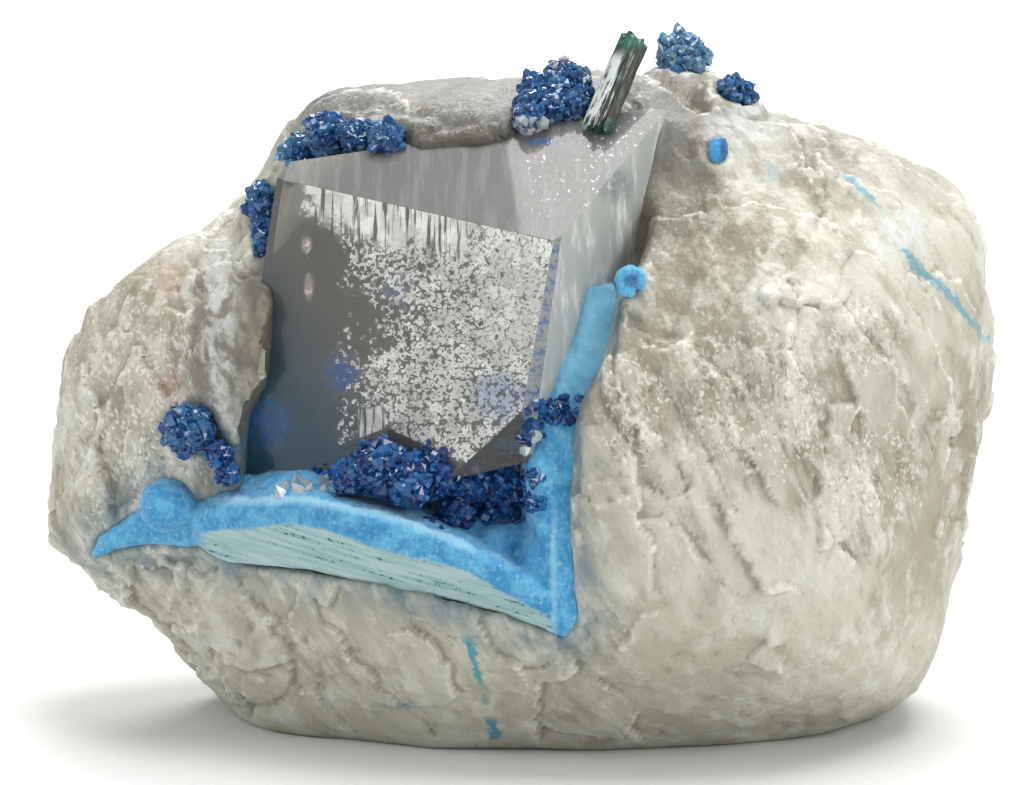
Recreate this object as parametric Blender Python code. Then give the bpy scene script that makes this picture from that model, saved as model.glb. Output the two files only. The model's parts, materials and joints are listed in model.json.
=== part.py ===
"""Shattuckite in quartz: a hand-sized lump of milky quartz with a hollow in its front.

A clear rhomb of quartz stands in the hollow, a crust of azure shattuckite lines the hollow's
floor and right wall, deep-blue crystals grow on that floor, and small blue crystal balls, azure
beads and one malachite prism sit on the lump.  Metres, +Z up; the display face looks along -Y.
"""
import math
import random

import bmesh
import bpy
from mathutils import Matrix, Vector, noise
from mathutils.bvhtree import BVHTree

# Driving dimensions. Lengths are in millimetres and are turned to metres where meshes are made.
MM = 0.001
LOOK_DOWN = math.radians(10)      # the display face is laid out as seen from this far above
VIEW_DISTANCE = 268.8             # and from this far away
AIM = Vector((0.0, -12.0, 26.9))  # the point at the middle of that view
AIM_HEIGHT = 25.5                 # height of that point on the display face
GAP = 0.35                        # clearance between neighbouring pieces
HOLLOW_BACK = -7.5                # depth where the hollow ends
CRUST_BACK = -7.9                 # depth where the lining ends
FRONT_BULGE = -18.5               # nearest depth of the lump's front
BACK_BULGE = 17.0                 # farthest depth of the lump's back
LUMP_FACES = 0.39                 # share of the sphere's faces kept on the lump
MIDDLE = (0.5, 22.0)              # centre of the lump's outline on the display face
ROUNDING = (0.55, 0.66)           # how boxy the lump is across and in depth; 1 is a round ball

# The lump's outline on the display face: right and up, from the left tip over the top.
OUTLINE = [
    (-33.0, 17.6), (-31.5, 20.8), (-31.9, 25.0), (-30.6, 29.2), (-28.1, 32.7), (-25.3, 34.7),
    (-23.2, 36.5), (-19.4, 38.1), (-17.3, 41.3), (-16.2, 43.9), (-14.8, 45.6), (-12.7, 46.6),
    (-6.4, 47.0), (0.2, 47.3), (9.0, 47.9), (14.0, 48.9), (15.6, 48.1), (16.6, 46.4),
    (20.2, 43.9), (23.7, 42.4), (29.3, 41.1), (32.4, 38.1), (32.3, 35.0), (33.5, 32.0),
    (33.0, 25.0), (31.9, 18.0), (30.3, 11.0), (29.3, 6.8), (27.2, 4.3), (23.7, 2.0),
    (20.2, 0.5), (13.2, -1.0), (-0.8, -1.5), (-12.7, -0.6), (-17.4, 0.9), (-19.0, 3.2),
    (-21.8, 5.4), (-23.6, 8.2), (-25.3, 10.3), (-28.8, 12.4), (-32.0, 14.1),
]

# The hollow's mouth on the display face, clockwise from its lower left end.
HOLLOW = [
    (-22.4, 16.8), (-19.3, 18.4), (-18.7, 24.2), (-17.3, 26.2), (-16.9, 32.7), (-16.0, 40.2),
    (-12.7, 41.1), (-7.8, 42.4), (-0.8, 43.2), (4.8, 43.2), (9.1, 43.9), (9.7, 36.9), (9.3, 35.1),
    (7.7, 32.6), (7.6, 31.3), (7.1, 28.8), (6.6, 27.4), (5.5, 25.3), (4.8, 23.9), (4.5, 19.4),
    (4.5, 15.2), (4.8, 10.0), (3.8, 8.4), (0.6, 9.4), (-6.4, 11.2), (-14.8, 12.9), (-19.0, 13.3),
    (-22.6, 14.4),
]

# The rhomb's corner nearest the viewer and the ends of its three edges: left, down, and back.
RHOMB_CORNER = (3.0, 36.0, -17.6)
RHOMB_LEFT = (-16.1, 40.3, -8.6)
RHOMB_DOWN = (-0.9, 12.6, -15.8)
RHOMB_BACK = (10.2, 44.8, -8.0)
# Its other facets, each by three points on it: its broken back, its foot, its lower corner and a
# narrow side facet.
RHOMB_FACETS = [
    ((-16.3, 40.9, -7.6), (9.8, 44.3, -7.8), (-19.6, 18.0, -6.2)),
    ((-0.6, 20.1, -15.9), (-19.4, 17.6, -8.4), (3.0, 24.6, -9.0)),
    ((-5.0, 21.1, -14.6), (-0.2, 24.0, -16.3), (-1.7, 19.4, -14.2)),
    ((2.8, 36.1, -17.6), (0.2, 23.5, -16.7), (4.3, 31.3, -15.2)),
]

# The lining follows the hollow from the arm on the left to the strip's top on the right.
# Each station: outer edge (right, up), inner edge (right, up), depth of its front, or None where it
# lies on the lump's face, and the depth of the pale layer under its azure edge.
LINING = [
    ((-28.9, 14.6), (-28.6, 15.3), None, 0.0), ((-27.6, 15.1), (-27.3, 16.1), None, 0.0),
    ((-26.2, 15.4), (-25.9, 17.0), None, 0.0), ((-25.2, 15.5), (-25.2, 17.7), None, 0.0),
    ((-24.0, 15.4), (-24.0, 18.0), None, 0.0), ((-22.9, 15.3), (-22.9, 17.6), None, 0.0),
    ((-21.9, 15.6), (-21.7, 17.1), -9.6, 0.4), ((-19.7, 15.9), (-19.7, 17.8), -10.6, 1.8),
    ((-17.5, 16.1), (-17.5, 17.9), -12.0, 2.2), ((-15.5, 16.3), (-15.5, 18.2), -13.4, 2.6),
    ((-13.8, 16.2), (-13.8, 18.2), -14.4, 2.7), ((-11.7, 15.7), (-11.7, 17.5), -15.5, 2.7),
    ((-9.2, 14.8), (-9.2, 16.8), -16.4, 2.5), ((-6.1, 13.9), (-6.1, 15.8), -17.1, 2.1),
    ((-3.6, 13.1), (-3.6, 14.9), -17.5, 1.8), ((-1.5, 12.3), (-1.8, 14.0), -17.7, 1.6),
    ((0.6, 11.1), (0.6, 12.7), -17.8, 1.0), ((2.2, 9.9), (1.9, 11.7), -17.8, 0.5),
    ((3.5, 9.0), (2.5, 11.4), -17.7, 0.0), ((4.3, 10.1), (2.6, 11.9), -17.6, 0.0),
    ((4.2, 13.4), (2.4, 13.8), -17.2, 0.0), ((4.1, 17.0), (1.8, 17.2), -16.5, 0.0),
    ((4.1, 20.2), (1.4, 20.2), -15.9, 0.0), ((4.4, 23.7), (2.1, 24.1), -15.2, 0.0),
    ((5.2, 25.6), (3.0, 26.2), -14.6, 0.0), ((6.3, 27.7), (3.7, 28.0), -14.0, 0.0),
    ((6.8, 29.3), (4.3, 29.7), -13.5, 0.0), ((7.2, 31.3), (4.7, 31.4), -13.0, 0.0),
    ((6.6, 32.7), (5.1, 32.6), -12.6, 0.0),
]

LINING_BLOB = (-24.1, 17.6, 1.75)  # the round knob that the arm grows from
ARM_HEIGHT = 0.9                  # how far the arm stands before the lump's face

# Crystal clusters: lumps given as right, up, depth and radius; each cluster is one grown piece.
DRUSE = [
    (-13.2, 18.7, -13.0, 0.9), (-11.3, 19.6, -13.4, 1.5), (-9.2, 20.3, -13.8, 2.1),
    (-7.4, 19.4, -14.2, 2.0), (-5.2, 20.2, -13.0, 2.2), (-3.0, 19.6, -12.2, 2.3),
    (-0.8, 19.3, -12.2, 2.2), (0.2, 21.0, -12.0, 1.7), (-3.8, 17.2, -12.6, 1.6),
    (-0.9, 16.9, -12.0, 1.6), (-15.4, 18.9, -11.0, 0.8),
]
TOP_CLUSTER = [
    (1.2, 44.7, -8.0, 1.3), (1.4, 45.6, -6.6, 1.4), (1.7, 46.6, -4.8, 1.5), (2.9, 45.5, -6.8, 1.5),
    (3.0, 46.7, -4.9, 1.6), (4.3, 45.6, -6.7, 1.4), (4.3, 47.0, -4.4, 1.6), (3.5, 47.9, -3.3, 1.2),
]
# These clusters and beads sit on the lump's face: right, up and radius of each ball.
TOP_BALL = [(11.9, 49.0, 2.05)]
RIGHT_PATCH = [(15.3, 46.8, 1.25), (16.2, 46.5, 1.15)]
RIM_CLUSTER = [
    (-14.7, 42.3, 1.7), (-12.9, 43.5, 1.9), (-10.7, 43.4, 1.5), (-8.8, 43.3, 1.5),
    (-14.4, 41.0, 1.1),
]
EDGE_CLUSTER = [(-17.6, 39.2, 1.2), (-17.5, 38.0, 1.1), (-17.4, 36.8, 1.0), (-17.4, 35.7, 0.9)]
LEFT_BALL = [(-22.7, 22.9, 2.0)]
LEFT_PATCH = [(-20.5, 21.2, 1.1), (-19.9, 19.9, 1.0)]
AZURE_BEAD = (14.4, 42.4, 0.75)
BROKEN_BEAD = (8.3, 33.3, 1.15)
PROUD = 0.55                      # share of its radius that a ball's centre stands before the face

PRISM_FOOT = (5.9, 44.0, -9.3)
PRISM_TIP = (8.6, 50.3, -5.0)
PRISM_RADIUS = 1.15

# Swells and dips of the lump's front: right, up, reach across, reach up, and how far it dips.
FORMS = [
    (5.3, 13.5, 2.6, 4.5, 2.0), (5.6, 21.0, 2.8, 4.5, 3.6), (7.6, 29.0, 3.2, 4.5, 4.6),
    (10.4, 36.0, 4.2, 5.0, 5.0), (10.3, 44.6, 2.8, 1.8, -2.6), (-1.0, 44.4, 11.0, 2.0, -3.2),
    (12.5, 40.0, 3.5, 4.0, 0.6),
    (-9.0, 9.5, 9.0, 3.0, 1.6), (13.5, 20.0, 3.5, 2.5, 1.2), (21.0, 36.0, 7.0, 3.5, -1.4),
    (19.0, 13.0, 6.0, 3.5, -1.0), (25.0, 22.0, 3.0, 8.0, 1.0), (8.0, 7.5, 4.0, 3.0, -0.9),
    (-22.0, 9.0, 6.0, 3.0, 1.5), (-19.0, 32.0, 1.8, 9.0, -0.6), (-26.0, 28.0, 4.0, 6.0, 0.8),
    (16.0, 43.5, 3.0, 3.0, 0.9), (27.0, 39.0, 4.0, 3.0, 1.2),
]
BREAKS = 90                       # number of flat breaks all round the lump
BREAK_SHARE = 0.6                 # how far the surface is flattened onto them
BREAK_REACH = 0.9                 # the most that a break moves the surface


def seen(right, up, depth):
    """World place, in metres, of a point of the display face that lies at this depth."""
    sine, cosine = math.sin(LOOK_DOWN), math.cos(LOOK_DOWN)
    back = depth - AIM.y
    height = AIM.z
    for _ in range(4):
        spread = 1 + (back * cosine - (height - AIM.z) * sine) / VIEW_DISTANCE
        height = AIM.z + ((up - AIM_HEIGHT) * spread - back * sine) / cosine
    return Vector((right * spread, depth, height)) * MM


def ease(low, high, value):
    share = min(max((value - low) / (high - low), 0.0), 1.0)
    return share * share * (3 - 2 * share)


def material(name, colour, roughness, metallic=0.0):
    mat = bpy.data.materials.new(name)
    mat.use_nodes = True
    shader = mat.node_tree.nodes["Principled BSDF"]
    shader.inputs["Base Color"].default_value = (*colour, 1)
    shader.inputs["Roughness"].default_value = roughness
    shader.inputs["Metallic"].default_value = metallic
    return mat


def add_piece(name, bm, mat, collection):
    """A new object of this mesh, its faces turned outwards."""
    bmesh.ops.recalc_face_normals(bm, faces=bm.faces)
    mesh = bpy.data.meshes.new(name)
    bm.to_mesh(mesh)
    bm.free()
    if mat:
        mesh.materials.append(mat)
    piece = bpy.data.objects.new(name, mesh)
    collection.objects.link(piece)
    return piece


def settle(piece):
    """Applies the piece's modifiers by taking over its evaluated mesh."""
    evaluated = piece.evaluated_get(bpy.context.evaluated_depsgraph_get())
    mesh = bpy.data.meshes.new_from_object(evaluated)
    piece.modifiers.clear()
    piece.data = mesh


def drop_crumbs(piece):
    """Keeps the largest of the bodies that a cut leaves."""
    bm = bmesh.new()
    bm.from_mesh(piece.data)
    waiting = set(bm.verts)
    bodies = []
    while waiting:
        reached = [waiting.pop()]
        for vert in reached:
            for edge in vert.link_edges:
                other = edge.other_vert(vert)
                if other in waiting:
                    waiting.remove(other)
                    reached.append(other)
        bodies.append(reached)
    bodies.sort(key=len)
    for body in bodies[:-1]:
        bmesh.ops.delete(bm, geom=body, context="VERTS")
    bm.to_mesh(piece.data)
    bm.free()


def combine(piece, other, operation, solver="EXACT"):
    """Cuts the other piece from this one or joins it to this one, then removes the other."""
    modifier = piece.modifiers.new(operation.title(), "BOOLEAN")
    modifier.operation = operation
    modifier.solver = solver
    modifier.object = other
    settle(piece)
    bpy.data.objects.remove(other)
    drop_crumbs(piece)


def cut_lump(lump, cutter):
    """Cuts the lump. Its many cuts meet at thin edges, where the exact solver can lose the mesh."""
    combine(lump, cutter, "DIFFERENCE", solver="MANIFOLD")


def swollen(piece, collection, by):
    """A copy of the piece whose faces stand out by this much, as a cutter that leaves a gap."""
    bm = bmesh.new()
    bm.from_mesh(piece.data)
    bmesh.ops.triangulate(bm, faces=bm.faces)
    bm.normal_update()
    moves = [vert.normal * min(vert.calc_shell_factor(), 1.7) * by * MM for vert in bm.verts]
    for vert, move in zip(bm.verts, moves):
        vert.co += move
    return add_piece("Cutter", bm, None, collection)


def ball_cutter(spot, collection):
    bm = bmesh.new()
    bmesh.ops.create_icosphere(bm, subdivisions=2, radius=spot[3] * MM,
                               matrix=Matrix.Translation(seen(*spot[:3])))
    return add_piece("Cutter", bm, None, collection)


class Face:
    """The lump's uncut face, asked for its depth at places of the display face."""

    def __init__(self, lump):
        corners = [vert.co.copy() for vert in lump.data.vertices]
        self.tree = BVHTree.FromPolygons(corners, [face.vertices[:] for face in lump.data.polygons])

    def depth(self, right, up):
        """Depth here, or at the nearest place below where the lump doesn't reach this high."""
        hit = None
        while hit is None:
            start = seen(right, up, -40.0)
            hit = self.tree.ray_cast(start, seen(right, up, 0.0) - start)[0]
            up -= 0.3
        return hit.y / MM

    def seat(self, spot):
        """A ball seated on the face: right, up, depth and radius. One with a depth stays there."""
        if len(spot) == 4:
            return spot
        right, up, radius = spot
        return (right, up, self.depth(right, up) - PROUD * radius, radius)


def outline_reach(angle):
    """Distance from the lump's middle to its outline in this direction."""
    turns = []
    for right, up in OUTLINE:
        turns.append((math.atan2(up - MIDDLE[1], right - MIDDLE[0]),
                      math.hypot(right - MIDDLE[0], up - MIDDLE[1])))
    turns.sort()
    turns = [(turns[-1][0] - math.tau, turns[-1][1])] + turns + [(turns[0][0] + math.tau, turns[0][1])]
    for (start, near), (end, far) in zip(turns, turns[1:]):
        if start <= angle <= end:
            share = (angle - start) / (end - start)
            return near + (far - near) * share
    return turns[0][1]


def front_depth(right, up):
    """Depth of the lump's front: it falls back to the left, to the upper right and at its foot."""
    depth = FRONT_BULGE
    depth += 10.5 * ease(-2.0, -27.0, right)
    depth += 5.5 * ease(22.0, 34.0, right)
    depth += 9.5 * ease(28.0, 47.0, up)
    depth += 2.5 * ease(10.0, 34.0, right) * ease(26.0, 44.0, up)
    depth += 6.5 * ease(11.0, -2.0, up)
    for across, height, wide, tall, dip in FORMS:
        depth += dip * math.exp(-((right - across) / wide) ** 2 - ((up - height) / tall) ** 2)
    return depth


def back_depth(right, up):
    """Depth of the lump's back, hidden in the usual view: a plain rounded break."""
    depth = BACK_BULGE
    depth -= 7.0 * ease(24.0, 48.0, up)
    depth -= 5.0 * ease(-8.0, -32.0, right)
    depth -= 3.0 * ease(12.0, 33.0, right)
    return depth


def break_flat(bm):
    """Flattens the surface towards the planes of seeded breaks, each ruling the part nearest it."""
    bm.normal_update()
    rng = random.Random(5)
    breaks = [(vert.co.copy(), vert.normal.copy()) for vert in rng.sample(list(bm.verts), BREAKS)]
    moves = []
    for vert in bm.verts:
        place, facing = min(breaks, key=lambda item: (item[0] - vert.co).length_squared)
        share = BREAK_SHARE * ease(0.6, 0.95, vert.normal.dot(facing))
        reach = (place - vert.co).dot(facing) * share
        moves.append(facing * max(min(reach, BREAK_REACH * MM), -BREAK_REACH * MM))
    for vert, move in zip(bm.verts, moves):
        vert.co += move


def make_matrix(collection, mat):
    """The lump of quartz: a sphere drawn out to the outline, chipped, roughened and cut flat below."""
    bm = bmesh.new()
    bmesh.ops.create_icosphere(bm, subdivisions=5, radius=1.0)
    for vert in bm.verts:
        across, back, up = vert.co
        plane = min(math.hypot(across, up), 1.0)
        angle = math.atan2(up, across)
        reach = outline_reach(angle) * plane ** ROUNDING[0]
        right = MIDDLE[0] + reach * math.cos(angle)
        height = MIDDLE[1] + reach * math.sin(angle)
        rim = 2.0 + 3.0 * ease(20.0, 47.0, height)
        face = front_depth(right, height) if back < 0 else back_depth(right, height)
        depth = rim + (face - rim) * abs(back) ** ROUNDING[1]
        bump = noise.fractal(Vector((right, depth, height)) / 9.0, 0.9, 2.1, 3)
        vert.co = seen(right, height, depth + 1.1 * bump * abs(back))
    for _ in range(2):
        bmesh.ops.smooth_vert(bm, verts=bm.verts, factor=0.5, use_axis_x=True, use_axis_y=True,
                              use_axis_z=True)
    break_flat(bm)
    bmesh.ops.smooth_vert(bm, verts=bm.verts, factor=0.4, use_axis_x=True, use_axis_y=True,
                          use_axis_z=True)
    lump = add_piece("quartz_matrix", bm, mat, collection)
    thin = lump.modifiers.new("Thin", "DECIMATE")
    thin.ratio = LUMP_FACES
    settle(lump)
    bm = bmesh.new()
    below = Matrix.Translation((0, 0, -0.05))
    bmesh.ops.create_cube(bm, size=0.1, matrix=below)
    cut_lump(lump, add_piece("Cutter", bm, None, collection))
    return lump


def hollow_cutter(collection):
    """The hollow's mouth, run back from before the lump to the hollow's end."""
    bm = bmesh.new()
    front = [bm.verts.new(seen(right, up, -40.0)) for right, up in HOLLOW]
    back = [bm.verts.new(seen(right, up, HOLLOW_BACK)) for right, up in HOLLOW]
    bm.faces.new(front)
    bm.faces.new(back)
    for index in range(len(HOLLOW)):
        after = (index + 1) % len(HOLLOW)
        bm.faces.new((front[index], front[after], back[after], back[index]))
    bmesh.ops.triangulate(bm, faces=bm.faces)
    return add_piece("Cutter", bm, None, collection)


def make_rhomb(collection, mat):
    """The clear rhomb: a cube sheared onto its three edges, with its smaller facets cut on."""
    corner = seen(*RHOMB_CORNER)
    edges = [seen(*spot) - corner for spot in (RHOMB_LEFT, RHOMB_DOWN, RHOMB_BACK)]
    shear = Matrix.Identity(4)
    for axis, edge in enumerate(edges):
        for row in range(3):
            shear[row][axis] = edge[row]
    shear.translation = corner + sum(edges, Vector()) / 2
    bm = bmesh.new()
    bmesh.ops.create_cube(bm, size=1.0, matrix=shear)
    centre = corner + (edges[0] + edges[1] + edges[2]) * 0.3
    facets = []
    for spots in RHOMB_FACETS:
        first, second, third = (seen(*spot) for spot in spots)
        facing = (second - first).cross(third - first).normalized()
        facets.append((first, facing if facing.dot(first - centre) > 0 else -facing))
    for place, facing in facets:
        everything = list(bm.verts) + list(bm.edges) + list(bm.faces)
        bmesh.ops.bisect_plane(bm, geom=everything, plane_co=place, plane_no=facing, clear_outer=True)
        bmesh.ops.holes_fill(bm, edges=[edge for edge in bm.edges if edge.is_boundary], sides=0)
    return add_piece("clear_crystal", bm, mat, collection)


def lining_section(station, face):
    """One section across the lining, from the lip's front round by the back to the inside."""
    (outer_right, outer_up), (inner_right, inner_up), front, layer = station
    if front is None:
        front = face.depth(outer_right, outer_up) - ARM_HEIGHT
    outward = Vector((outer_right - inner_right, outer_up - inner_up)).normalized()
    foot = Vector((outer_right, outer_up)) + outward * max(layer + 0.15, 0.3)
    inward = Vector((-0.12, 0.5)) if outward.y < -0.7 else Vector((-0.5, 0.15))
    slope = 1.0 if layer > 0 or outer_right > 0 else 0.25
    back = CRUST_BACK if outer_right > -21.0 else front + 4.0
    rise = (back - front) * slope
    inner = Vector((inner_right, inner_up))
    middle = inner + inward * rise * 0.22
    end = inner + inward * rise * 0.75
    return [
        seen(inner.x, inner.y, front + 0.5),
        seen((inner.x * 3 + outer_right) / 4, (inner.y * 3 + outer_up) / 4, front),
        seen(outer_right, outer_up, front + 0.1),
        seen(foot.x, foot.y, front + 0.4 + 0.7 * layer),
        seen(foot.x, foot.y, back),
        seen(end.x, end.y, back),
        seen(middle.x, middle.y, (front + back) / 2),
    ]


def make_lining(face, collection, mat):
    """The azure crust: sections joined one to the next and closed at both ends."""
    bm = bmesh.new()
    rings = [[bm.verts.new(place) for place in lining_section(station, face)] for station in LINING]
    for ring, after in zip(rings, rings[1:]):
        for index in range(len(ring)):
            follow = (index + 1) % len(ring)
            bm.faces.new((ring[index], ring[follow], after[follow], after[index]))
    bm.faces.new(rings[0])
    bm.faces.new(rings[-1])
    bmesh.ops.triangulate(bm, faces=bm.faces)
    lining = add_piece("shattuckite_lining", bm, mat, collection)
    combine(lining, ball_cutter(face.seat(LINING_BLOB), collection), "UNION")
    return lining


def make_cluster(name, lumps, collection, mat, seed):
    """A cluster of crystals: balls whose faces are drawn out to points, grown into one another."""
    rng = random.Random(seed)
    whole = None
    for right, up, depth, radius in lumps:
        bm = bmesh.new()
        place = Matrix.Translation(seen(right, up, depth))
        turn = Matrix.Rotation(rng.uniform(0, math.tau), 4, "Z") @ Matrix.Rotation(rng.uniform(0, 3), 4, "X")
        detail = 2 if radius >= 2.0 else 1
        bmesh.ops.create_icosphere(bm, subdivisions=detail, radius=radius * MM * 0.86, matrix=place @ turn)
        points = bmesh.ops.poke(bm, faces=bm.faces)["verts"]
        centre = place.translation
        for point in points:
            point.co = centre + (point.co - centre).normalized() * radius * MM * rng.uniform(0.93, 1.08)
        lump = add_piece(name, bm, mat, collection)
        if whole:
            combine(whole, lump, "UNION")
        else:
            whole = lump
    whole.name = name
    return whole


def make_bead(name, spot, stretch, collection, mat):
    """An azure bead: a ball drawn out upwards."""
    bm = bmesh.new()
    shape = Matrix.Translation(seen(*spot[:3])) @ Matrix.Diagonal((1.0, 1.0, stretch, 1.0))
    bmesh.ops.create_icosphere(bm, subdivisions=2, radius=spot[3] * MM, matrix=shape)
    return add_piece(name, bm, mat, collection)


def make_broken_bead(spot, collection, mat):
    """The broken azure ball: its front is broken off flat and a notch is missing at the lower right."""
    bead = make_bead("azure_broken_bead", spot, 1.0, collection, mat)
    centre = seen(*spot[:3])
    size = spot[3] * MM
    for offset, side in (((0.0, -1.5, 0.0), 2.0), ((1.05, -0.7, -1.0), 1.1)):
        bm = bmesh.new()
        place = Matrix.Translation(centre + Vector(offset) * size)
        bmesh.ops.create_cube(bm, size=side * size, matrix=place @ Matrix.Rotation(0.35, 4, "Y"))
        combine(bead, add_piece("Cutter", bm, None, collection), "DIFFERENCE")
    return bead


def make_prism(collection, mat):
    """The malachite prism: seven-sided, grooved along its length, with a bevelled broken end."""
    foot, tip = seen(*PRISM_FOOT), seen(*PRISM_TIP)
    length = (tip - foot).length
    turn = (tip - foot).to_track_quat("Z", "Y").to_matrix().to_4x4()
    place = Matrix.Translation((foot + tip) / 2) @ turn
    bm = bmesh.new()
    bmesh.ops.create_cone(bm, cap_ends=True, segments=14, radius1=PRISM_RADIUS * MM * 0.86,
                          radius2=PRISM_RADIUS * MM, depth=length)
    for vert in bm.verts:
        turn_share = math.atan2(vert.co.y, vert.co.x) / math.tau * 14
        groove = 0.86 if round(turn_share) % 2 else 1.0
        vert.co.x *= groove * 1.05
        vert.co.y *= groove * 0.8
        if vert.co.z > 0:
            vert.co.z += vert.co.x * 0.35
    bmesh.ops.transform(bm, matrix=place, verts=bm.verts)
    return add_piece("malachite_prism", bm, mat, collection)


def seat_in(matrix, lumps, collection):
    """Cuts the seats of these balls in the lump, a little wider than the balls."""
    for right, up, depth, radius in lumps:
        seat = (right, up, depth, radius * 1.08 + GAP)
        cut_lump(matrix, ball_cutter(seat, collection))


def centre_on_base(pieces):
    """Moves all the pieces so that the origin lies at the middle of the specimen's base."""
    corners = [vert.co for piece in pieces for vert in piece.data.vertices]
    low = Vector([min(corner[axis] for corner in corners) for axis in range(3)])
    high = Vector([max(corner[axis] for corner in corners) for axis in range(3)])
    shift = Vector((-(low.x + high.x) / 2, -(low.y + high.y) / 2, -low.z))
    for piece in pieces:
        piece.data.transform(Matrix.Translation(shift))


def build():
    for old in list(bpy.data.objects):
        bpy.data.objects.remove(old)
    collection = bpy.data.collections.new("shattuckite_in_quartz")
    bpy.context.scene.collection.children.link(collection)

    milky = material("Milky quartz", (0.75, 0.74, 0.68), 0.35)
    clear = material("Clear quartz", (0.55, 0.56, 0.56), 0.08)
    azure = material("Azure shattuckite", (0.07, 0.36, 0.78), 0.85)
    deep = material("Deep blue quartz", (0.03, 0.12, 0.40), 0.12)
    green = material("Malachite", (0.02, 0.12, 0.07), 0.30)

    matrix = make_matrix(collection, milky)
    face = Face(matrix)
    rhomb = make_rhomb(collection, clear)
    cut_lump(matrix, swollen(rhomb, collection, GAP))
    cut_lump(matrix, hollow_cutter(collection))
    lining = make_lining(face, collection, azure)
    combine(lining, swollen(rhomb, collection, GAP), "DIFFERENCE")
    cut_lump(matrix, swollen(lining, collection, GAP))
    druse = make_cluster("druse_crust", DRUSE, collection, deep, 3)
    combine(druse, swollen(rhomb, collection, GAP), "DIFFERENCE")
    combine(druse, swollen(lining, collection, GAP), "DIFFERENCE")
    prism = make_prism(collection, green)
    cut_lump(matrix, swollen(prism, collection, GAP))
    seated = {
        "top_blue_cluster": TOP_CLUSTER, "top_blue_ball": TOP_BALL, "right_blue_patch": RIGHT_PATCH,
        "rim_blue_cluster": RIM_CLUSTER, "left_edge_cluster": EDGE_CLUSTER,
        "left_blue_ball": LEFT_BALL, "left_dark_patch": LEFT_PATCH,
    }
    for seed, (name, spots) in enumerate(seated.items()):
        lumps = [face.seat(spot) for spot in spots]
        cluster = make_cluster(name, lumps, collection, deep, 10 + seed)
        for neighbour in (rhomb, prism, lining):
            combine(cluster, swollen(neighbour, collection, GAP), "DIFFERENCE")
        seat_in(matrix, lumps, collection)
    bead, broken = face.seat(AZURE_BEAD), face.seat(BROKEN_BEAD)
    make_bead("azure_bead", bead, 1.35, collection, azure)
    make_broken_bead(broken, collection, azure)
    seat_in(matrix, [bead, broken], collection)
    centre_on_base(list(collection.objects))


build()
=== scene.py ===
"""A shattuckite in quartz specimen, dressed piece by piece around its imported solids."""
import json
import math
import random

import bmesh
import bpy
import numpy as np
from mathutils import Matrix, Vector, noise
from mathutils.bvhtree import BVHTree

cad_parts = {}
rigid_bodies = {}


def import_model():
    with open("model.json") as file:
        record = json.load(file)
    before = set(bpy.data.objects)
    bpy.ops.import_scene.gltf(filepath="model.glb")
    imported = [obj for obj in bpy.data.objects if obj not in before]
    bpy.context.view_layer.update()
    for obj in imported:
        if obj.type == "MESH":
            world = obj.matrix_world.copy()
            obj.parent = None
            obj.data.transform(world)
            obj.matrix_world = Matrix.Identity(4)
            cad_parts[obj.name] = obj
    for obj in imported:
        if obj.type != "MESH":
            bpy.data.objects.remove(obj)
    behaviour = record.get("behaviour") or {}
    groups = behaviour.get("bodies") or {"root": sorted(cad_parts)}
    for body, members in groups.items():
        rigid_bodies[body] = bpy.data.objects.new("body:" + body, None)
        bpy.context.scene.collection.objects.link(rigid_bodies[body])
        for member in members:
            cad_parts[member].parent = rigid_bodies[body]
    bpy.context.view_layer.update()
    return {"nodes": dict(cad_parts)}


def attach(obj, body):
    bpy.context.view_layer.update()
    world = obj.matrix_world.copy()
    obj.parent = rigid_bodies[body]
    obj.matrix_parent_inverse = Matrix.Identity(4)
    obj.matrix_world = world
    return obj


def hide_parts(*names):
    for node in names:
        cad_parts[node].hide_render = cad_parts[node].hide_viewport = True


for old in list(bpy.data.objects):
    bpy.data.objects.remove(old)
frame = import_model()

# The view. The specimen is looked at from a little above, with a long lens close by. A place on it
# is told as it shows on the display face: right and up in millimetres, and how deep it lies.
LOOK_DOWN = math.radians(10)
FAR = 268.8  # from the lens to the place that it aims at, in millimetres
MOVED = Vector((-0.5386, 0.4885, 0.0))  # how far the part was moved from where it was drawn
AIM = Vector((0.0, -12.0, 26.9)) + MOVED
AIM_HEIGHT = 25.5
SIGHT = Vector((0.0, math.cos(LOOK_DOWN), -math.sin(LOOK_DOWN)))
RISE = Vector((0.0, math.sin(LOOK_DOWN), math.cos(LOOK_DOWN)))
EYE = AIM - SIGHT * FAR

bpy.ops.object.camera_add(location=EYE / 1000, rotation=(math.radians(90) - LOOK_DOWN, 0, 0))
camera = bpy.context.object
camera.name = "Camera"
camera.data.lens = 135
camera.data.sensor_width = 36
camera.data.clip_start = 0.01
camera.data.clip_end = 10
bpy.context.scene.camera = camera


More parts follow.
